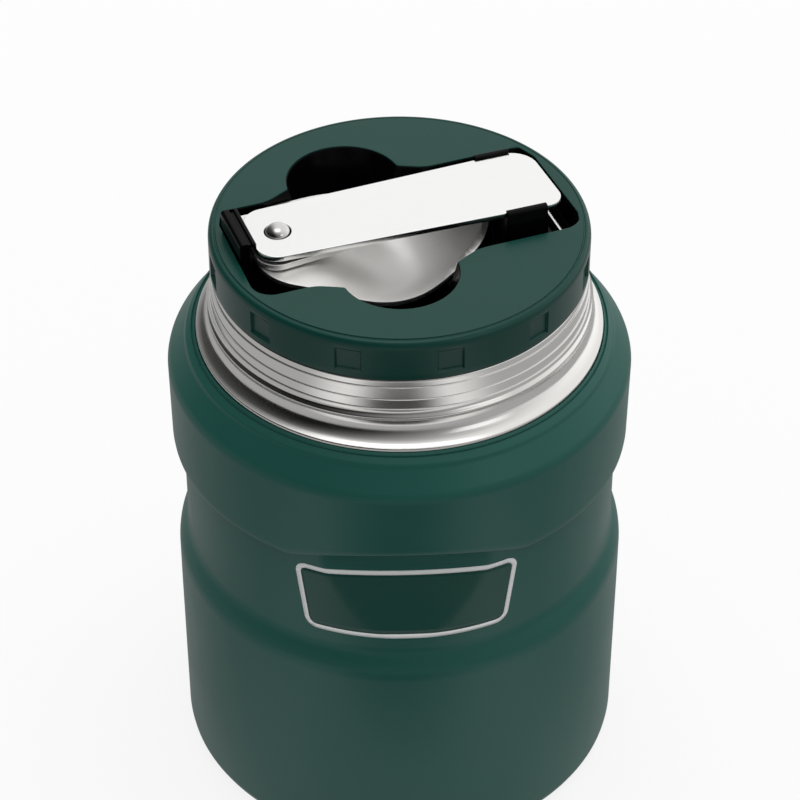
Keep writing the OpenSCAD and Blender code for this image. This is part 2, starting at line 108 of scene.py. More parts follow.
def sky(front, back, side, zenith, left):
    """Soft light from all round, by its strength in front, behind and high up behind.

    side is what the right has more than the middle, and left the share kept on the far left.
    """
    place = add("TexCoord")
    high = add("VectorMath", operation="DOT_PRODUCT")
    high.inputs[1].default_value = (0.0, 0.50, 0.87)
    tree.links.new(place.outputs["Generated"], high.inputs[0])
    lift = add("MapRange", interpolation_type="SMOOTHSTEP", From_Min=0.3, From_Max=0.9)
    tree.links.new(high.outputs["Value"], lift.inputs["Value"])
    along = add("VectorMath", operation="DOT_PRODUCT")
    along.inputs[1].default_value = (side, (back - front)/2, 0.0)
    tree.links.new(place.outputs["Generated"], along.inputs[0])
    level = add("Math", operation="ADD")
    level.inputs[1].default_value = (back + front)/2
    tree.links.new(along.outputs["Value"], level.inputs[0])
    blend = add("Mix")
    blend.inputs["B"].default_value = zenith
    tree.links.new(lift.outputs["Result"], blend.inputs["Factor"])
    tree.links.new(level.outputs[0], blend.inputs["A"])
    across = add("SeparateXYZ")
    tree.links.new(place.outputs["Generated"], across.inputs[0])
    fall = add("MapRange", interpolation_type="SMOOTHSTEP", From_Min=-0.7, From_Max=0.0, To_Min=left)
    tree.links.new(across.outputs["X"], fall.inputs["Value"])
    kept = add("Math", operation="MULTIPLY")
    tree.links.new(blend.outputs["Result"], kept.inputs[0])
    tree.links.new(fall.outputs["Result"], kept.inputs[1])
    light = add("Background", Color=(1.0, 1.0, 1.0, 1.0))
    tree.links.new(kept.outputs[0], light.inputs["Strength"])
    return light


soft_light = sky(front=0.48, back=0.95, side=0.14, zenith=1.20, left=1.0)
mirrored_light = sky(front=0.10, back=1.20, side=0.33, zenith=1.0, left=0.08)
white = add("Background", Color=(1.0, 1.0, 1.0, 1.0), Strength=1.0)
around = mixed(tree, add, mirrored_rays(tree, add), soft_light, mirrored_light)
seen = mixed(tree, add, camera_rays(add), around, white)
tree.links.new(seen.outputs[0], add("OutputWorld").inputs["Surface"])

floor_paint = bpy.data.materials.new("floor")
floor_paint.cycles.emission_sampling = "NONE"
tree, add = nodes_of(floor_paint)
matt = add("BsdfDiffuse", Color=(0.28, 0.28, 0.28, 1.0))
pale = add("BsdfDiffuse", Color=(0.80, 0.80, 0.80, 1.0))
glow = add("Emission", Color=(1.0, 1.0, 1.0, 1.0), Strength=1.0)
ground = mixed(tree, add, camera_rays(add), matt, pale)
shining = add("Math", operation="MAXIMUM")
for i, (rays, share) in enumerate(((mirrored_rays(tree, add), 0.2), (camera_rays(add), 0.84))):
    part = add("Math", operation="MULTIPLY")
    part.inputs[1].default_value = share
    tree.links.new(rays, part.inputs[0])
    tree.links.new(part.outputs[0], shining.inputs[i])
seen = mixed(tree, add, shining.outputs[0], ground, glow)
tree.links.new(seen.outputs[0], add("OutputMaterial").inputs["Surface"])

bm = bmesh.new()
bmesh.ops.create_grid(bm, x_segments=2, y_segments=2, size=4.0)
mesh = bpy.data.meshes.new("floor")
bm.to_mesh(mesh)
bm.free()
mesh.materials.append(floor_paint)
floor = bpy.data.objects.new("floor", mesh)
scene.collection.objects.link(floor)

for name, place, size, watts in (("lamp_above", (0.45, 0.15, 1.3), 0.8, 2.4),
                                 ("lamp_back", (-0.3, 1.0, 0.9), 0.6, 1.5)):
    lamp = bpy.data.lights.new(name, "AREA")
    lamp.shape = "DISK"
    lamp.size = size
    lamp.energy = watts
    holder = bpy.data.objects.new(name, lamp)
    holder.location = place
    aim = Vector((0.0, 0.0, 0.1)) - Vector(place)
    holder.rotation_euler = aim.to_track_quat("-Z", "Y").to_euler()
    holder.visible_glossy = False
    scene.collection.objects.link(holder)


def reflector(name, centre, aim, size, levels, reach):
    """A card that only mirrored rays see, with levels at three distances from its middle."""
    shade = bpy.data.materials.new(name)
    shade.cycles.emission_sampling = "NONE"
    tree, add = nodes_of(shade)
    place = add("TexCoord")
    away = add("VectorMath", operation="DISTANCE")
    away.inputs[1].default_value = centre
    tree.links.new(place.outputs["Object"], away.inputs[0])
    strength = add("Math", operation="MULTIPLY")
    for i, (first, last) in enumerate(((levels[0], levels[1]), (1.0, levels[2]/levels[1]))):
        fade = add("MapRange", interpolation_type="SMOOTHSTEP", From_Min=reach[i],
                   From_Max=reach[i + 1], To_Min=first, To_Max=last)
        tree.links.new(away.outputs["Value"], fade.inputs["Value"])
        tree.links.new(fade.outputs["Result"], strength.inputs[i])
    glow = add("Emission")
    tree.links.new(strength.outputs[0], glow.inputs["Strength"])
    tree.links.new(glow.outputs[0], add("OutputMaterial").inputs["Surface"])
    bm = bmesh.new()
    bmesh.ops.create_grid(bm, x_segments=1, y_segments=1, size=0.5)
    bmesh.ops.scale(bm, vec=(size[0], size[1], 1.0), verts=bm.verts[:])
    turn = (Vector(aim) - Vector(centre)).to_track_quat("Z", "Y").to_matrix().to_4x4()
    bmesh.ops.transform(bm, matrix=Matrix.Translation(centre) @ turn, verts=bm.verts[:])
    mesh = bpy.data.meshes.new(name)
    bm.to_mesh(mesh)
    bm.free()
    mesh.materials.append(shade)
    card = bpy.data.objects.new(name, mesh)
    for ray in ("camera", "diffuse", "transmission", "volume_scatter", "shadow"):
        setattr(card, "visible_" + ray, False)
    scene.collection.objects.link(card)


# Cards for the shiny parts to mirror: on the floor in front a dim middle in a
# bright ring, one high over the jar and one on its right.
reflector("card_floor", centre=(0.0, -0.155, 0.001), aim=(0.0, -0.155, 1.0), size=(1.6, 0.80),
          levels=(0.06, 0.92, 0.45), reach=(0.03, 0.09, 0.16))
reflector("card_above", centre=(0.0, 0.06, 1.15), aim=(0.0, 0.06, 0.0), size=(0.9, 0.8),
          levels=(1.9, 1.9, 0.9), reach=(0.0, 0.2, 0.45))
reflector("card_right", centre=(0.75, -0.72, 0.66), aim=(0.0, 0.0, 0.1), size=(0.6, 0.5),
          levels=(1.25, 1.25, 0.9), reach=(0.0, 0.1, 0.35))


# Painted shell: one drawn steel skin under a satin dark green paint. The
# shoulder band stands out over a narrower waist, and a leaning facet in
# front cuts an arch in the band's lower edge.
def new_group(name, first, kind, tone):
    """Node group for a surface: a height for a bump, a roughness and a tone for the colour."""
    group = bpy.data.node_groups.new(name, "ShaderNodeTree")
    for socket, kind in ((first, kind), ("Smooth", "Float"), ("Rough", "Float")):
        group.interface.new_socket(socket, in_out="INPUT", socket_type="NodeSocket" + kind)
    for socket in ("Height", "Roughness", tone):
        group.interface.new_socket(socket, in_out="OUTPUT", socket_type="NodeSocketFloat")
    return group, adder(group), group.nodes.new("NodeGroupInput"), group.nodes.new("NodeGroupOutput")


def drift_between(group, add, source, sink, fine, wide, share):
    """Sets a group's roughness between its smooth and rough inputs by two noises blended."""
    blend = add("Mix", Factor=share)
    group.links.new(fine.outputs["Fac"], blend.inputs["A"])
    group.links.new(wide.outputs["Fac"], blend.inputs["B"])
    spread = add("MapRange", From_Min=0.3, From_Max=0.7)
    group.links.new(blend.outputs["Result"], spread.inputs["Value"])
    group.links.new(source.outputs["Smooth"], spread.inputs["To Min"])
    group.links.new(source.outputs["Rough"], spread.inputs["To Max"])
    group.links.new(spread.outputs["Result"], sink.inputs["Roughness"])


def grain_group():
    """Fine unevenness of a moulded, painted or cast surface, with a slow drift."""
    group, add, source, sink = new_group("fine_grain", "Scale", "Float", "Drift")
    place = add("TexCoord")
    fine = add("TexNoise", Detail=3.0, Roughness=0.6)
    group.links.new(place.outputs["Object"], fine.inputs["Vector"])
    group.links.new(source.outputs["Scale"], fine.inputs["Scale"])
    wide = add("TexNoise", Scale=45.0, Detail=2.0)
    group.links.new(place.outputs["Object"], wide.inputs["Vector"])
    drift_between(group, add, source, sink, fine, wide, 0.5)
    group.links.new(fine.outputs["Fac"], sink.inputs["Height"])
    group.links.new(wide.outputs["Fac"], sink.inputs["Drift"])
    return group


fine_grain = grain_group()


def toned(tree, add, grain, drift, colour, tone, bump, metallic, specular=0.5):
    """Ends a material: a colour that drifts to a second tone, over the height and roughness of its grain."""
    hue = add("Mix", data_type="RGBA")
    hue.inputs["A"].default_value = (*colour, 1.0)
    hue.inputs["B"].default_value = (*tone, 1.0)
    tree.links.new(drift, hue.inputs["Factor"])
    relief = add("Bump", Strength=1.0, Distance=bump)
    tree.links.new(grain.outputs["Height"], relief.inputs["Height"])
    shader = add("BsdfPrincipled", Metallic=metallic)
    shader.inputs["Specular IOR Level"].default_value = specular
    tree.links.new(hue.outputs["Result"], shader.inputs["Base Color"])
    tree.links.new(grain.outputs["Roughness"], shader.inputs["Roughness"])
    tree.links.new(relief.outputs["Normal"], shader.inputs["Normal"])
    tree.links.new(shader.outputs[0], add("OutputMaterial").inputs["Surface"])


def grained(name, colour, tone, scale, smooth, rough, bump, metallic=0.0, specular=0.5):
    """Material with a fine even grain, such as paint, plastic, foam or a polished metal."""
    material = bpy.data.materials.new(name)
    tree, add = nodes_of(material)
    grain = add("Group", node_tree=fine_grain, Scale=scale, Smooth=smooth, Rough=rough)
    toned(tree, add, grain, grain.outputs["Drift"], colour, tone, bump, metallic, specular)
    return material


green_paint = grained("green_paint", (0.0095, 0.0880, 0.0700), (0.0125, 0.0950, 0.0770),
                      scale=2600.0, smooth=0.30, rough=0.40, bump=0.000012, specular=0.28)


MM = 0.001


def even_normals(piece, weight=50):
    """Keeps large flat faces flat where they meet rounded edges."""
    even = piece.modifiers.new("even_normals", "WEIGHTED_NORMAL")
    even.keep_sharp = True
    even.weight = weight


def piece_from(name, bm, material, body, sharp=42.0, weighted=True):
    """Turns a bmesh into an object that rides on a body, smooth between its sharp edges."""
    mesh = bpy.data.meshes.new(name)
    bm.to_mesh(mesh)
    bm.free()
    mesh.materials.append(material)
    for face in mesh.polygons:
        face.use_smooth = True
    mesh.set_sharp_from_angle(angle=math.radians(sharp))
    piece = bpy.data.objects.new(name, mesh)
    scene.collection.objects.link(piece)
    if weighted:
        even_normals(piece, 80)
    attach(piece, body)
    return piece


def walled(piece, thickness):
    """Gives a sheet its thickness in millimetres, behind the face that it shows."""
    wall = piece.modifiers.new("wall", "SOLIDIFY")
    wall.thickness = thickness*MM
    wall.offset = -1.0


def rounded(bm, geom, offset, segments, affect="EDGES"):
    """Rounds edges or the corners of an outline."""
    bmesh.ops.bevel(bm, geom=geom, offset=offset, offset_type="OFFSET", segments=segments, profile=0.5,
                    affect=affect, material=-1)


def profile(bm, corners, closed=True):
    """Wire outline of (radius, height, rounding) corners, in millimetres."""
    points = [bm.verts.new((r*MM, 0.0, z*MM)) for r, z, _ in corners]
    last = len(points) if closed else len(points) - 1
    for i in range(last):
        bm.edges.new((points[i], points[(i + 1) % len(points)]))
    for point, (_, _, rounding) in zip(points, corners):
        if rounding:
            rounded(bm, [point], rounding*MM, 5, "VERTICES")


def spun(bm, steps=192):
    """Turns the outline round the jar's axis into a closed surface."""
    bmesh.ops.spin(bm, geom=bm.verts[:] + bm.edges[:], cent=(0, 0, 0), axis=(0, 0, 1),
                   dvec=(0, 0, 0), angle=2*math.pi, steps=steps, use_merge=True, use_duplicate=False)
    bmesh.ops.remove_doubles(bm, verts=bm.verts[:], dist=0.000002)
    bmesh.ops.recalc_face_normals(bm, faces=bm.faces[:])


band_r, waist_r, lip_z, brow_rise = 47.7, 45.4, 82.2, 4.5
lip_r = band_r - 0.3
ledge = 1.41    # the band's underside runs in by this much for each millimetre down
band_top, corner_low, corner_drop, waist_low = 100.6, 80.2, 3.0, 59.2
facet_turn, facet_half, facet_top, facet_crown = math.radians(2.0), math.radians(40), 43.0, 130.0
facet_lean = math.tan(math.radians(6.6))


def facet_radius(turn, z):
    """Distance from the axis to the badge facet, in millimetres, at an angle from its middle."""
    ahead = facet_top + (lip_z - z)*facet_lean
    r = ahead
    for _ in range(4):
        side = r*math.sin(turn)
        r = (ahead - facet_crown + math.sqrt(facet_crown**2 - side**2))/math.cos(turn)
    return r


def radius_of(co):
    """Distance from a point to the jar's axis, in millimetres."""
    return math.hypot(co.x, co.y)/MM


def shell_point(co):
    """Moves a point of the plain turned shell to the arched band and the facet."""
    r, z = radius_of(co), co.z/MM
    turn = math.atan2(co.x, -co.y) - facet_turn
    if abs(turn) > facet_half or z > band_top or z < waist_low:
        return co
    rise = max(0.0, brow_rise - band_r*(1 - math.cos(turn))/ledge)
    slope = 1 + (math.cos(turn) - 1)*min(1.0, rise)
    if z >= lip_z:
        z += rise*(band_top - z)/(band_top - lip_z)
    else:
        inner = min(waist_r, facet_radius(turn, lip_z + rise - corner_drop))
        corner = lip_z + rise - (lip_r - inner)*slope/ledge
        off_line = z - (lip_z - (lip_r - r)/ledge)
        if z > corner_low:
            inward = (lip_r - r)/(lip_r - waist_r)
            r = lip_r - inward*(lip_r - inner)
            z = lip_z + rise - (lip_r - r)*slope/ledge + off_line
        else:
            low = corner - (lip_z - (lip_r - waist_r)/ledge - corner_low)
            z = waist_low + (z - waist_low)*(low - waist_low)/(corner_low - waist_low)
            r = min(r, facet_radius(turn, z))
    turn += facet_turn
    return Vector((r*math.sin(turn)*MM, -r*math.cos(turn)*MM, z*MM))


bm = bmesh.new()
profile(bm, [(41.83, 108.0, 0), (41.83, 108.95, 0.15), (43.85, 107.3, 0.35), (44.1, 106.5, 0.35),
             (47.45, 101.9, 0.9), (band_r, band_top, 0), (band_r - 0.15, lip_z + 1.2, 0),
             (lip_r, lip_z, 0.45), (waist_r, 80.78, 0.5), (waist_r, waist_low, 0),
             (waist_r, 57.8, 1.2), (46.9, 54.8, 0.9), (47.55, 52.9, 1.6), (47.6, 40.0, 0),
             (47.6, 0.8, 2.9), (44.5, 0.8, 0)], closed=False)
# The tall walls are cut finely, so that the arch and the facet can bend them.
tall_walls = [e for e in bm.edges if abs(e.verts[0].co.z - e.verts[1].co.z) > 15*MM
              and min(v.co.z for v in e.verts) > 55*MM]
bmesh.ops.subdivide_edges(bm, edges=tall_walls, cuts=26)
spun(bm, 288)
for vert in bm.verts:
    vert.co = shell_point(vert.co)
bmesh.ops.recalc_face_normals(bm, faces=bm.faces[:])
shell = piece_from("painted_shell", bm, green_paint, "jar", sharp=60.0, weighted=False)
walled(shell, 0.8)
even_normals(shell)
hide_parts("outer_shell")


# Badge: a thin printed plate on the facet, a bare dark green field inside a
# silver line.
badge_green = grained("badge_green", (0.0030, 0.0560, 0.0420), (0.0045, 0.0620, 0.0470),
                      scale=1800.0, smooth=0.32, rough=0.42, bump=0.000008, specular=0.3)
badge_silver = grained("badge_silver", (0.96, 0.97, 0.97), (0.92, 0.93, 0.93),
                       scale=2200.0, smooth=0.28, rough=0.42, bump=0.000006)
badge_w, badge_h, badge_z, badge_line, badge_taper = 44.6, 17.0, 70.5, 1.05, 0.108


def facing(bm, direction):
    """Turns an open sheet's faces to look along a direction."""
    bmesh.ops.recalc_face_normals(bm, faces=bm.faces[:])
    if sum(f.normal.dot(direction) for f in bm.faces) < 0:
        bmesh.ops.reverse_faces(bm, faces=bm.faces[:])


def badge_layer(inner):
    """Flat badge outline cut in narrow strips and laid on the facet: the line, or the field in it."""
    bm = bmesh.new()
    bmesh.ops.create_grid(bm, x_segments=1, y_segments=1, size=0.5)
    bmesh.ops.scale(bm, vec=(badge_w, badge_h, 1.0), verts=bm.verts[:])
    rounded(bm, bm.verts[:], 2.6, 8, "VERTICES")
    ring = bmesh.ops.inset_region(bm, faces=bm.faces[:], thickness=badge_line, use_even_offset=True,
                                  use_boundary=True)["faces"]
    field = [f for f in bm.faces if f not in ring]
    bmesh.ops.delete(bm, geom=ring if inner else field, context="FACES")
    rows = 8
    cuts = [((i - badge_w/2, 0, 0), (1, 0, 0)) for i in range(1, int(badge_w))]
    cuts += [((0, (i/rows - 0.5)*badge_h, 0), (0, 1, 0)) for i in range(1, rows)]
    for place, across in cuts:
        bmesh.ops.bisect_plane(bm, geom=bm.verts[:] + bm.edges[:] + bm.faces[:], dist=0.001,
                               plane_co=place, plane_no=across)
    bmesh.ops.triangulate(bm, faces=bm.faces[:])
    proud = 0.10 if inner else 0.13
    for vert in bm.verts:
        z = badge_z + vert.co.y
        turn = vert.co.x*(1 + badge_taper*vert.co.y/badge_h)/waist_r
        r = min(waist_r, facet_radius(turn, z)) + proud
        turn += facet_turn
        vert.co = (r*math.sin(turn)*MM, -r*math.cos(turn)*MM, z*MM)
    facing(bm, Vector((0, -1, 0)))
    return bm


for name, inner, finish in (("badge_line", False, badge_silver), ("badge_field", True, badge_green)):
    badge = piece_from(name, badge_layer(inner), finish, "jar", weighted=False)
    walled(badge, 0.16)


# Neck: bare stainless steel, rolled with fine steps under its rim and a bead
# at its root. One thread ridge for the cup winds once round it and fades out
# at the back.
def brushed_group():
    """Fine lines left by turning or brushing: thin noise along one direction, a little smeared."""
    group, add, source, sink = new_group("brushed_lines", "Vector", "Vector", "Shade")
    lines = add("TexNoise", Scale=1.0, Detail=4.0, Roughness=0.65)
    group.links.new(source.outputs["Vector"], lines.inputs["Vector"])
    place = add("TexCoord")
    smear = add("TexNoise", Scale=90.0, Detail=2.0)
    group.links.new(place.outputs["Object"], smear.inputs["Vector"])
    drift_between(group, add, source, sink, lines, smear, 0.4)
    group.links.new(lines.outputs["Fac"], sink.inputs["Height"])
    group.links.new(lines.outputs["Fac"], sink.inputs["Shade"])
    return group


brushed_lines = brushed_group()


def round_the_axis(tree, add, place):
    """Coordinates (radius, height, angle) round the jar's axis."""
    axes = add("SeparateXYZ")
    tree.links.new(place.outputs["Object"], axes.inputs[0])
    angle = add("Math", operation="ARCTAN2")
    tree.links.new(axes.outputs["Y"], angle.inputs[0])
    tree.links.new(axes.outputs["X"], angle.inputs[1])
    flat = add("CombineXYZ")
    tree.links.new(axes.outputs["X"], flat.inputs["X"])
    tree.links.new(axes.outputs["Y"], flat.inputs["Y"])
    radius = add("VectorMath", operation="LENGTH")
    tree.links.new(flat.outputs[0], radius.inputs[0])
    lines = add("CombineXYZ")
    tree.links.new(radius.outputs["Value"], lines.inputs["X"])
    tree.links.new(axes.outputs["Z"], lines.inputs["Y"])
    tree.links.new(angle.outputs[0], lines.inputs["Z"])
    return lines.outputs[0]


def brushed(name, colour, tone, smooth, rough, bump, direction=None):
    """Brushed metal; the lines run round the jar's axis, or along a direction in the plane."""
    material = bpy.data.materials.new(name)
    tree, add = nodes_of(material)
    place = add("TexCoord")
    stretch = add("Mapping")
    if direction is None:
        stretch.inputs["Scale"].default_value = (9000.0, 9000.0, 2.5)
        tree.links.new(round_the_axis(tree, add, place), stretch.inputs["Vector"])
    else:
        stretch.inputs["Rotation"].default_value = (0.0, 0.0, direction)
        stretch.inputs["Scale"].default_value = (140.0, 9000.0, 9000.0)
        tree.links.new(place.outputs["Object"], stretch.inputs["Vector"])
    grain = add("Group", node_tree=brushed_lines, Smooth=smooth, Rough=rough)
    tree.links.new(stretch.outputs[0], grain.inputs["Vector"])
    toned(tree, add, grain, grain.outputs["Shade"], colour, tone, bump, metallic=1.0)
    return material


def push_out(vert, factor):
    """Moves a point straight out from the jar's axis, or in."""
    vert.co.x *= factor
    vert.co.y *= factor


neck_steel = brushed("neck_steel", (0.84, 0.83, 0.81), (0.70, 0.69, 0.67),
                     smooth=0.12, rough=0.22, bump=0.000004)

bm = bmesh.new()
profile(bm, [(36.0, 110.9, 0), (36.0, 123.6, 0.3), (37.95, 123.6, 0.3), (37.96, 122.04, 0),
             (38.2, 122.0, 0.05), (38.24, 119.24, 0), (38.46, 119.2, 0.05), (38.4, 117.04, 0),
             (38.62, 117.0, 0.06), (38.6, 112.33, 1.05), (39.67, 110.47, 1.05), (41.03, 109.69, 0.45),
             (41.6, 109.5, 0.3), (41.74, 108.9, 0.1), (41.74, 108.0, 0), (39.3, 108.0, 0),
             (37.4, 110.9, 0)])
wall_r, root_z, step_z, cut = 38.0, 110.5, 117.0, 0.16
ridge_edges = [e for e in bm.edges if min(v.co.x for v in e.verts) > wall_r*MM
               and all(root_z < v.co.z/MM < step_z for v in e.verts)]
for edge in ridge_edges:
    bmesh.ops.subdivide_edges(bm, edges=[edge], cuts=max(1, int(edge.calc_length()/(cut*MM))))
spun(bm, 256)
ridge_z, ridge_lead, ridge_tall, ridge_wide = 115.2, 1.7, 0.7, 0.6
ridge_end, ridge_fade = math.radians(176), math.radians(24)
for vert in bm.verts:
    r, z = radius_of(vert.co), vert.co.z/MM
    turn = math.atan2(vert.co.x, -vert.co.y)
    away = (z - ridge_z - ridge_lead*turn/(2*math.pi))/ridge_wide
    fade = min(1.0, max(0.0, (ridge_end - abs(turn))/ridge_fade))
    if r > wall_r and z > root_z:
        swell = ridge_tall*math.exp(-away*away)*fade*fade*(3 - 2*fade)
        push_out(vert, 1 + swell/r)
neck = piece_from("steel_neck", bm, neck_steel, "jar", sharp=50.0)
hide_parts("neck_ring")


# Inside of the flask: the deep-drawn liner, the foil round it, the closing
# plate with its glass bead, and the getter under its strap.
bare_steel = brushed("bare_steel", (0.68, 0.67, 0.65), (0.58, 0.57, 0.55),
                     smooth=0.25, rough=0.38, bump=0.000004)
copper = grained("copper_foil", (0.80, 0.46, 0.30), (0.74, 0.40, 0.26),
                 scale=900.0, smooth=0.20, rough=0.35, bump=0.00003, metallic=1.0)
glass_bead = grained("glass_bead", (0.10, 0.08, 0.06), (0.14, 0.11, 0.08),
                     scale=1200.0, smooth=0.15, rough=0.3, bump=0.00002)
getter_grey = grained("getter_grey", (0.16, 0.16, 0.17), (0.22, 0.22, 0.23),
                      scale=5200.0, smooth=0.6, rough=0.8, bump=0.00005)


def finished(node, material):
    """Gives a CAD node its material and leaves its mesh as it is."""
    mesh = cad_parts[node].data
    mesh.materials.clear()
    mesh.materials.append(material)


for node, finish in (("inner_liner", bare_steel), ("heat_foil", copper), ("vacuum_bottom", bare_steel),
                     ("seal_bead", glass_bead), ("getter", getter_grey), ("getter_clip", bare_steel)):
    finished(node, finish)


# Foot: a moulded dark green plate pressed in the bottom of the shell. Its
# ring carries the jar and the middle stands clear of the table.
foot_plastic = grained("foot_plastic", (0.010, 0.030, 0.026), (0.013, 0.036, 0.031),
                       scale=5200.0, smooth=0.45, rough=0.62, bump=0.00003, specular=0.4)
bm = bmesh.new()
profile(bm, [(0.0, 1.4, 0), (35.6, 1.4, 0.5), (37.4, 0.0, 0.4), (43.7, 0.0, 0.5), (44.45, 0.75, 0.2),
             (44.45, 2.0, 0), (45.35, 2.0, 0), (45.35, 3.0, 0), (37.0, 3.0, 0), (36.0, 2.4, 0),
             (0.0, 2.4, 0)])
spun(bm)
foot = piece_from("foot", bm, foot_plastic, "jar", sharp=50.0)
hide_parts("base_cap")


# Stopper cap: a green moulded ring with a flat satin top. A fine groove
# parts the top from the rounded shoulder, twelve shallow pockets give grip,
# and the opening of the spoon recess is cut through the top.
cap_plastic = grained("cap_plastic", (0.0026, 0.0430, 0.0330), (0.0035, 0.0475, 0.0370),
                      scale=4200.0, smooth=0.20, rough=0.28, bump=0.000010, specular=0.24)
stopper_top, cap_r, cap_wall = 133.0, 38.2, 1.3
grips, grip_half, grip_depth, grip_top, grip_run, grip_low = 12, 4.0, 0.6, 130.7, 1.1, 125.3
slot_x, slot_y, slot_turn, slot_half_l, slot_half_w = 0.3, 1.45, math.radians(20.5), 34.3, 14.55
slot_corner, lip_low, lip_wide, ceiling_z = 4.2, -0.22, 1.25, -2.0
pit_x, pit_y, pit_r, pit_lead, pit_slant = -5.7, 16.3, 11.65, 5.3, math.radians(26)
in_recess = (Matrix.Translation((0.0, 0.0, stopper_top*MM)) @ Matrix.Rotation(slot_turn, 4, "Z")
             @ Matrix.Translation((slot_x*MM, slot_y*MM, 0.0)) @ Matrix.Scale(MM, 4))


def arc_line(bm, parts, step=4.0):
    """Closed wire of arcs (x, y, radius, first angle, last angle), joined by straight edges."""
    ends = []
    for x, y, radius, first, last in parts:
        turn = math.radians(first)
        vert = bm.verts.new((x + radius*math.cos(turn), y + radius*math.sin(turn), 0.0))
        tail = vert
        if radius:
            made = bmesh.ops.spin(bm, geom=[vert], cent=(x, y, 0), axis=(0, 0, 1), dvec=(0, 0, 0),
                                  angle=math.radians(last - first), use_merge=False, use_duplicate=False,
                                  steps=max(2, round((last - first)/step)))
            tail = [v for v in made["geom_last"] if isinstance(v, bmesh.types.BMVert)][0]
        ends.append((vert, tail))
    for i, (vert, _) in enumerate(ends):
        bm.edges.new((ends[i - 1][1], vert))
    return ends


def recess_line(bm, away, z, limit):
    """Edge of the recess, a slot with a finger pit on each side, grown and kept within a radius."""
    before = set(bm.verts)
    half_l, half_w, corner = slot_half_l + away, slot_half_w + away, slot_corner + away
    ring, slope = pit_r + away, math.tan(pit_slant)
    far = pit_r + pit_lead + away*math.tan(pit_slant/2)
    height = half_w + far*slope - pit_y
    steep = 1 + slope**2
    reach = (height*slope + math.sqrt(height**2*slope**2 - steep*(height**2 - ring**2)))/steep
    low = math.degrees(math.acos(reach/ring))
    parts = []
    for side in (-1, 1):
        turn = 0 if side > 0 else 180
        parts += [(side*(half_l - corner), side*(half_w - corner), corner, turn, turn + 90),
                  (pit_x + side*far, side*half_w, 0, 0, 0),
                  (pit_x, side*pit_y, ring, turn + low, turn + 180 - low),
                  (pit_x - side*far, side*half_w, 0, 0, 0),
                  (-side*(half_l - corner), side*(half_w - corner), corner, turn + 90, turn + 180)]
    ends = arc_line(bm, parts)
    leads = [ends[i][0] for i in (1, 3, 6, 8)]
    lips = [ends[i][k] for i in (2, 7) for k in (0, 1)]
    for verts, rounding in ((leads, 1.6), (lips, 0.45)):
        rounded(bm, verts, rounding, 4, "VERTICES")
    line = [v for v in bm.verts if v not in before]
    bmesh.ops.transform(bm, matrix=in_recess, verts=line)
    for vert in line:
        vert.co.z += z*MM
        push_out(vert, min(1.0, limit/radius_of(vert.co)))
    return list({e for v in line for e in v.link_edges})


bm = bmesh.new()
# Rings down the opening: its rounded edge, the lip over the tray, and the wall round the tray.
ring = recess_line(bm, 0.26, 0.0, 35.95)
for away, z, limit in ((0.165, -0.03, 35.86), (0.13, -0.12, 35.83), (0.13, lip_low, 35.83),
                       (lip_wide, lip_low, 36.86), (lip_wide, ceiling_z, 36.86)):
    lower = recess_line(bm, away, z, limit)
    bmesh.ops.bridge_loops(bm, edges=ring + lower)
    ring = lower
opening = bpy.data.meshes.new("opening")
bm.to_mesh(opening)
bm.clear()
skirt_r, roof_z = cap_r - cap_wall, stopper_top + ceiling_z
profile(bm, [(36.62, stopper_top, 0), (36.72, 132.74, 0.07), (36.98, 132.72, 0.07),
             (37.08, 132.86, 0.06), (37.5, 132.82, 0.2), (38.02, 132.4, 0.4), (cap_r, 131.6, 0.3),
             (cap_r, grip_top, 0), (cap_r, grip_top - grip_run, 0), (cap_r, grip_low, 0),
             (cap_r, 124.2, 0), (38.0, 123.8, 0.18), (skirt_r, 123.8, 0.18), (skirt_r, roof_z, 0)],
        closed=False)
spun(bm, 360)


def from_grip(co):
    """Angle in degrees from a point to the middle of the nearest grip pocket."""
    return math.degrees(math.atan2(co.y, co.x)) % (360/grips) - 180/grips


pockets = []
for face in bm.faces:
    middle = face.calc_center_median()
    on_side = radius_of(middle) > cap_r - 0.1 and grip_low < middle.z/MM < grip_top
    if on_side and abs(from_grip(middle)) < grip_half:
        pockets.append(face)
bmesh.ops.inset_region(bm, faces=pockets, thickness=0.3*MM, use_even_offset=True, use_boundary=True)
for vert in {v for f in pockets for v in f.verts}:
    turn = math.radians(from_grip(vert.co))
    deep = grip_depth*min(1.0, (grip_top - vert.co.z/MM)/grip_run)
    flat_r = (cap_r - deep)/math.cos(turn*deep/grip_depth)
    push_out(vert, flat_r/radius_of(vert.co))
crisp = [e for e in bm.edges if not e.is_boundary and e.calc_face_angle(0.0) > math.radians(20)
         and all(grip_low - 0.1 < v.co.z/MM < grip_top + 0.1 for v in e.verts)
         and all(radius_of(v.co) > cap_r - 0.8 for v in e.verts)]
rounded(bm, crisp, 0.12*MM, 2)
bm.from_mesh(opening)
for level in (stopper_top, roof_z):
    rim = [e for e in bm.edges if e.is_boundary and all(abs(v.co.z/MM - level) < 0.001 for v in e.verts)]
    bmesh.ops.triangle_fill(bm, edges=rim, use_beauty=True, use_dissolve=False)
bmesh.ops.recalc_face_normals(bm, faces=bm.faces[:])
cap = piece_from("cap", bm, cap_plastic, "stopper", sharp=35.0)
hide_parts("stopper_cap")


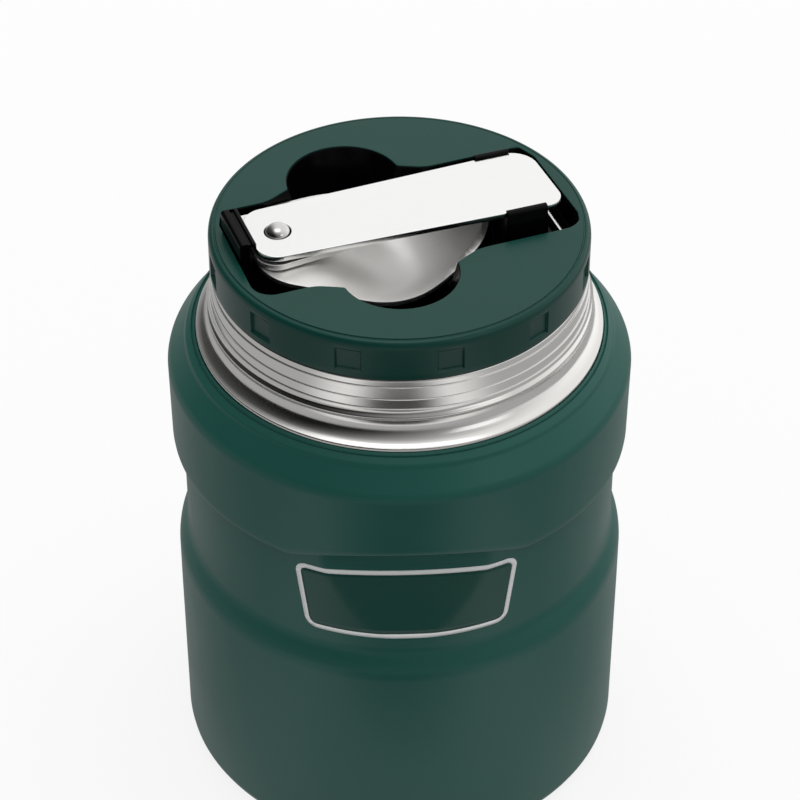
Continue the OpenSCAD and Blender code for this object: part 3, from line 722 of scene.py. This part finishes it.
# Recess tray: glossy black moulding pressed into the cap from below, with a
# deep well for the bowl and a pit for a fingertip on each side of it.
black_plastic = grained("black_plastic", (0.0010, 0.0010, 0.0011), (0.0020, 0.0020, 0.0021),
                        scale=3200.0, smooth=0.12, rough=0.22, bump=0.000008, specular=0.08)
pit_draft, lip_gap = 0.24, 0.03
bm = bmesh.new()
bm.from_mesh(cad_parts["spoon_tray"].data)
bmesh.ops.remove_doubles(bm, verts=bm.verts[:], dist=0.000002)
for vert in bm.verts:
    if vert.co.z > (stopper_top - 1.0)*MM:
        vert.co.z = (stopper_top + lip_low - lip_gap)*MM
    spot = in_recess.inverted() @ vert.co
    away = Vector((spot.x - pit_x, spot.y - math.copysign(pit_y, spot.y), 0.0))
    if abs(away.length - pit_r) < 0.06 and spot.z < -1.0:
        vert.co = in_recess @ (spot + away*pit_draft*spot.z/pit_r)
bmesh.ops.dissolve_limit(bm, angle_limit=math.radians(1.0), verts=bm.verts[:], edges=bm.edges[:],
                         use_dissolve_boundaries=False)
crisp = [e for e in bm.edges if e.calc_face_angle(0.0) > math.radians(30)]
rounded(bm, crisp, 0.2*MM, 3)
bmesh.ops.recalc_face_normals(bm, faces=bm.faces[:])
tray = piece_from("tray", bm, black_plastic, "stopper", sharp=35.0)
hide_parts("spoon_tray")


# Catches: two springy black fingers that snap over the handle's long edges,
# and a grooved latch hooked over its riveted end. All are moulded bars of
# one section with softened edges.
def thickened(bm, faces, step):
    """Extrudes flat faces by a step into a closed solid."""
    far = bmesh.ops.extrude_face_region(bm, geom=faces, use_keep_orig=True)["geom"]
    bmesh.ops.translate(bm, vec=step, verts=[v for v in far if isinstance(v, bmesh.types.BMVert)])
    bmesh.ops.recalc_face_normals(bm, faces=bm.faces[:])


def moulded(section, length, soft):
    """Bar of one section of (across, up, rounding) corners, in millimetres, with its length along Y."""
    bm = bmesh.new()
    corners = [bm.verts.new((across, -length/2, up)) for across, up, _ in section]
    for i, corner in enumerate(corners):
        bm.edges.new((corners[i - 1], corner))
    for corner, (_, _, rounding) in zip(corners, section):
        if rounding:
            rounded(bm, [corner], rounding, 3, "VERTICES")
    face = bmesh.ops.contextual_create(bm, geom=bm.edges[:])["faces"]
    thickened(bm, face, (0, length, 0))
    ends = [e for e in bm.edges if abs(e.verts[0].co.y - e.verts[1].co.y) < 0.001]
    rounded(bm, ends, soft, 2)
    return bm


handle_end, handle_tip, rivet_x, clip_x = -31.0, 31.6, -25.3, 23.4
half_handle, recess_floor = 9.55, -5.95
finger = [(half_handle + 0.3, recess_floor, 0), (half_handle + 1.8, recess_floor, 0.1),
          (half_handle + 1.5, 0.0, 0), (half_handle + 0.95, 3.75, 0.3), (half_handle + 0.65, 4.1, 0.15),
          (half_handle - 0.2, 4.1, 0.2), (half_handle - 0.45, 3.85, 0.1),
          (half_handle - 0.45, 3.65, 0.05), (half_handle + 0.3, 3.65, 0.1)]
handle_line = Matrix.Translation((rivet_x, 0, 0)) @ Matrix.Rotation(math.radians(-1.0), 4, "Z")
clip_place = in_recess @ handle_line @ Matrix.Translation((clip_x - rivet_x, 0, 0))
for name, side, length, outward in (("near", -1, 8.5, 0.0), ("far", 1, 7.4, 0.25)):
    bm = moulded(finger, length, soft=0.16)
    bmesh.ops.translate(bm, vec=(outward, 0, 0), verts=bm.verts[:])
    across = Matrix.Rotation(side*math.pi/2, 4, "Z")
    bmesh.ops.transform(bm, matrix=clip_place @ across, verts=bm.verts[:])
    catch = piece_from("catch_" + name, bm, black_plastic, "stopper", sharp=35.0)
    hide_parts("side_catch_" + name)

bm = moulded([(-33.5, -5.2, 0.3), (-33.4, recess_floor, 0.4), (-32.2, recess_floor, 0.4),
              (-32.2, -5.2, 0.2), (-31.9, 3.65, 0.1), (-30.7, 3.65, 0.05), (-30.7, 4.05, 0.15),
              (-30.9, 4.3, 0.1), (-31.5, 4.3, 0.1), (-31.6, 3.8, 0.1), (-32.4, 3.8, 0.1),
              (-32.5, 4.45, 0.12), (-33.7, 4.5, 0.25), (-34.2, 4.0, 0.25), (-34.1, 0.8, 0.1),
              (-33.35, 0.65, 0.1)], length=12.4, soft=0.18)
latch_y = 2.9
bmesh.ops.translate(bm, vec=(0, latch_y, 0), verts=bm.verts[:])
bmesh.ops.transform(bm, matrix=in_recess, verts=bm.verts[:])
latch = piece_from("latch_hook", bm, black_plastic, "latch", sharp=35.0)
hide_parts("end_latch")


# Lift spring: a bright steel strip set in the floor of the recess, which
# tips the handle's free end up.
plate_steel = brushed("plate_steel", (0.93, 0.93, 0.92), (0.88, 0.88, 0.87),
                      smooth=0.12, rough=0.22, bump=0.000002, direction=-slot_turn)
bm = moulded([(30.9, recess_floor, 0), (32.0, recess_floor, 0), (32.0, -4.75, 0.3), (31.75, -4.55, 0.2),
              (31.15, -4.55, 0.2), (30.9, -4.75, 0.3)], length=19.0, soft=0.15)
bmesh.ops.transform(bm, matrix=in_recess, verts=bm.verts[:])
spring = piece_from("spring_strip", bm, plate_steel, "stopper", sharp=35.0)
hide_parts("lift_spring")


# Spoon bowl: satin stainless sheet pressed to a hollow with a narrow flat
# rim, and raised to a lug at the end where the handle is riveted on.
spoon_steel = brushed("spoon_steel", (0.92, 0.91, 0.89), (0.88, 0.87, 0.85),
                      smooth=0.32, rough=0.42, bump=0.000002, direction=-slot_turn)
bowl_r, bowl_deep, bowl_x, rim_w = 38.0, 9.8, -7.5, 1.2
belly_r, lug_z, lug_r, lug_reach = 19.1, 0.38, 4.6, 29.0
bowl_middle, rim_tuck, tuck_x, tuck_run = Vector((-12.0, 0.0, 0.0)), 0.055, -24.0, 10.0


def bowl_height(x, y):
    """Height of the bowl's inside over the stopper's top: a round hollow that rises to the lug."""
    hollow = bowl_r - bowl_deep - math.sqrt(bowl_r**2 - (x - bowl_x)**2 - y**2)
    near = (lug_reach - math.hypot(x - rivet_x, y))/(lug_reach - lug_r)
    near = max(0.0, min(1.0, near))
    return hollow + (lug_z - hollow)*near**2*(3 - 2*near)


bm = bmesh.new()
arc_line(bm, [(-22.1, -4.9, 8.8, 180, 246.6), (bowl_x, 0, belly_r, 246.6, 299.3),
              (6.0, 0, 12.5, -60.7, 60.7), (bowl_x, 0, belly_r, 60.7, 113.4),
              (-22.1, 4.9, 8.8, 113.4, 180)], step=3.0)
for edge in [e for e in bm.edges if e.calc_length() > 1.5]:
    bmesh.ops.subdivide_edges(bm, edges=[edge], cuts=int(edge.calc_length()))
face = bmesh.ops.contextual_create(bm, geom=bm.edges[:])["faces"]
flange = set(bmesh.ops.inset_region(bm, faces=face, thickness=rim_w, use_even_offset=True,
                                    use_boundary=True)["faces"])
strip, off_middle = 0.85, 0.013
for normal in ((0, 1, 0), (1, 0, 0)):
    for i in range(-40, 41):
        hollow = [f for f in bm.faces if f not in flange]
        at = i*strip + off_middle
        bmesh.ops.bisect_plane(bm, geom=hollow + list({e for f in hollow for e in f.edges}), dist=0.06,
                               plane_co=(at, at, 0), plane_no=normal)
bmesh.ops.triangulate(bm, faces=[f for f in bm.faces if len(f.verts) > 4])
for vert in bm.verts:
    spot = vert.co
    if vert.is_boundary:
        flat = max(0.0, min(1.0, (vert.co.x - tuck_x)/tuck_run))
        spot = bowl_middle + (vert.co - bowl_middle)*(1.0 - rim_tuck*flat)
    vert.co.z = bowl_height(spot.x, spot.y)
facing(bm, Vector((0, 0, 1)))
bmesh.ops.transform(bm, matrix=in_recess, verts=bm.verts[:])
bowl = piece_from("bowl", bm, spoon_steel, "spoon", sharp=60.0, weighted=False)
walled(bowl, 0.95)
soft = bowl.modifiers.new("soft_rim", "BEVEL")
soft.width = 0.25*MM
soft.segments = 3
soft.limit_method = "ANGLE"
soft.angle_limit = math.radians(50)
even_normals(bowl)
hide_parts("spoon_bowl")


# Leaf and handle: two flat steel blades on one rivet. The leaf lies on the
# lug, and its tab stops the handle when it is swung open. The washer between
# them is black plastic.
def blade(bm, hole_x, hole_r, low, high, soft):
    """Fills a flat outline with a rivet hole between two heights and softens its edges, in millimetres."""
    bmesh.ops.create_circle(bm, segments=40, radius=hole_r, matrix=Matrix.Translation((hole_x, 0, 0)))
    bmesh.ops.triangle_fill(bm, edges=bm.edges[:], use_beauty=True, use_dissolve=False)
    bmesh.ops.translate(bm, vec=(0, 0, low), verts=bm.verts[:])
    thickened(bm, bm.faces[:], (0, 0, high - low))
    around = [e for e in bm.edges if abs(e.verts[0].co.z - e.verts[1].co.z) < 0.001
              and e.calc_face_angle(0.0) > math.radians(45)]
    rounded(bm, around, soft, 3)


leaf_low, leaf_high, handle_low, handle_high = 0.45, 1.75, 2.3, 3.5
bm = bmesh.new()
ends = arc_line(bm, [(-26.9, -4.1, 4.4, 180, 276.3), (-10.5, -2.3, 4.4, 276.3, 360),
                     (-10.5, 2.3, 4.4, 0, 83.7), (-27.1, 8.45, 0, 0, 0), (-28.1, 9.7, 0, 0, 0),
                     (-30.7, 9.7, 0, 0, 0), (-31.3, 4.1, 0, 0, 0)], step=7.5)
tab_corners = [ends[i][0] for i in (3, 4, 5)]
rounded(bm, tab_corners, 0.5, 4, "VERTICES")
blade(bm, rivet_x, hole_r=1.6, low=leaf_low, high=leaf_high, soft=0.12)
bmesh.ops.transform(bm, matrix=in_recess, verts=bm.verts[:])
leaf = piece_from("leaf", bm, spoon_steel, "spoon", sharp=35.0)
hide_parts("tang_leaf")

bm = bmesh.new()
arc_line(bm, [(handle_end + 4.5, -3.7, 4.5, 180, 268.6), (handle_tip - 3.3, -6.25, 3.5, 268.6, 361.5),
              (handle_tip - 5.9, 4.25, 5.5, 1.5, 91.4), (handle_end + 4.5, 3.7, 4.5, 91.4, 180)], step=5.0)
bmesh.ops.translate(bm, vec=(-rivet_x, 0, 0), verts=bm.verts[:])
blade(bm, 0.0, hole_r=2.72, low=handle_low, high=handle_high, soft=0.12)
bmesh.ops.transform(bm, matrix=in_recess @ handle_line, verts=bm.verts[:])
handle = piece_from("handle_plate", bm, plate_steel, "handle", sharp=35.0)
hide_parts("spoon_handle")
finished("pivot_washer", black_plastic)


# Rivet: a polished steel pin through the lug, the leaf, the washer and the
# handle, with a domed head on the handle and a flat one under the lug.
rivet_steel = grained("rivet_steel", (0.70, 0.69, 0.67), (0.62, 0.61, 0.60),
                      scale=2600.0, smooth=0.10, rough=0.20, bump=0.000004, metallic=1.0)
bm = bmesh.new()
profile(bm, [(0.0, -1.2, 0), (2.2, -1.2, 0.15), (2.2, -0.65, 0.1), (1.5, -0.65, 0), (1.5, 2.85, 0),
             (2.45, 2.85, 0), (2.46, 3.3, 0.2), (2.36, 3.75, 0.2), (2.09, 4.2, 0.2), (1.68, 4.56, 0.2),
             (1.16, 4.82, 0.2), (0.6, 4.96, 0.2), (0.0, 5.0, 0)])
spun(bm, 72)
bmesh.ops.scale(bm, vec=(1/MM, 1/MM, 1/MM), verts=bm.verts[:])
bmesh.ops.translate(bm, vec=(rivet_x, 0, 0), verts=bm.verts[:])
bmesh.ops.transform(bm, matrix=in_recess, verts=bm.verts[:])
rivet = piece_from("rivet", bm, rivet_steel, "spoon", sharp=40.0)
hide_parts("pivot_rivet")


# Plug: the black threaded core that screws in the mouth, its bottom welded
# on over white foam, and two grey silicone seals, one under the flange and
# one in a groove at the bottom.
silicone = grained("silicone", (0.52, 0.54, 0.55), (0.60, 0.62, 0.63),
                   scale=2400.0, smooth=0.45, rough=0.6, bump=0.00001)
foam = grained("foam", (0.84, 0.84, 0.80), (0.76, 0.76, 0.72),
               scale=1500.0, smooth=0.8, rough=0.95, bump=0.0001)
plug_satin = grained("plug_satin", (0.0060, 0.0060, 0.0064), (0.0100, 0.0100, 0.0102),
                     scale=3600.0, smooth=0.34, rough=0.46, bump=0.00002, specular=0.35)
plug_r, bore_r, flange_r = 34.4, 32.6, 36.85
bm = bmesh.new()
profile(bm, [(bore_r, 104.7, 0), (plug_r, 104.7, 0.1), (plug_r, 123.9, 0.3), (35.45, 123.9, 0),
             (35.45, 124.75, 0), (36.55, 124.75, 0), (36.55, 123.9, 0), (flange_r, 123.9, 0.1),
             (flange_r, 125.95, 0.2), (bore_r, 125.95, 0.2)])
tall = [e for e in bm.edges if min(v.co.x for v in e.verts) > (plug_r - 0.1)*MM and e.calc_length() > 10*MM]
bmesh.ops.subdivide_edges(bm, edges=tall, cuts=90)
spun(bm)
thread_lead, thread_starts, thread_low, thread_high = 12.0, 2, 107.0, 122.0
thread_tall, thread_half, thread_fade = 0.58, 0.62, 1.5
pitch = thread_lead/thread_starts
for vert in bm.verts:
    z = vert.co.z/MM
    if abs(radius_of(vert.co) - plug_r) < 0.01 and thread_low < z < thread_high:
        turn = math.atan2(vert.co.y, vert.co.x)/(2*math.pi)
        near = (z - thread_low - thread_lead*turn + pitch/2) % pitch - pitch/2
        fade = min(1.0, (z - thread_low)/thread_fade, (thread_high - z)/thread_fade)
        push_out(vert, 1 + thread_tall*fade*math.exp(-(near/thread_half)**4)/plug_r)
core = piece_from("threaded_core", bm, plug_satin, "stopper", sharp=40.0)
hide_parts("stopper_core")

for name, finish, body, slot, node, corners in (
        ("plug_bottom", plug_satin, "stopper", "black_plastic", "plug_base",
         [(0.0, 102.7, 0), (33.4, 102.7, 0.3), (plug_r, 103.3, 0.15), (33.0, 103.3, 0), (33.0, 104.2, 0),
          (plug_r, 104.2, 0.1), (plug_r, 104.67, 0.1), (0.0, 104.67, 0)]),
        ("lower_seal", silicone, "stopper", "silicone", "plug_gasket",
         [(33.05, 103.35, 0), (plug_r, 103.35, 0.2), (plug_r + 0.5, 103.6, 0.12),
          (plug_r + 0.5, 103.9, 0.12), (plug_r, 104.15, 0.2), (33.05, 104.15, 0)]),
        ("upper_seal", silicone, "gasket", "silicone", "rim_gasket",
         [(35.5, 123.65, 0.15), (36.5, 123.65, 0.15), (36.5, 124.7, 0), (35.5, 124.7, 0)])):
    bm = bmesh.new()
    profile(bm, corners)
    spun(bm, 160)
    part = piece_from(name, bm, finish, body, sharp=40.0)
    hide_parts(node)
finished("insulation", foam)
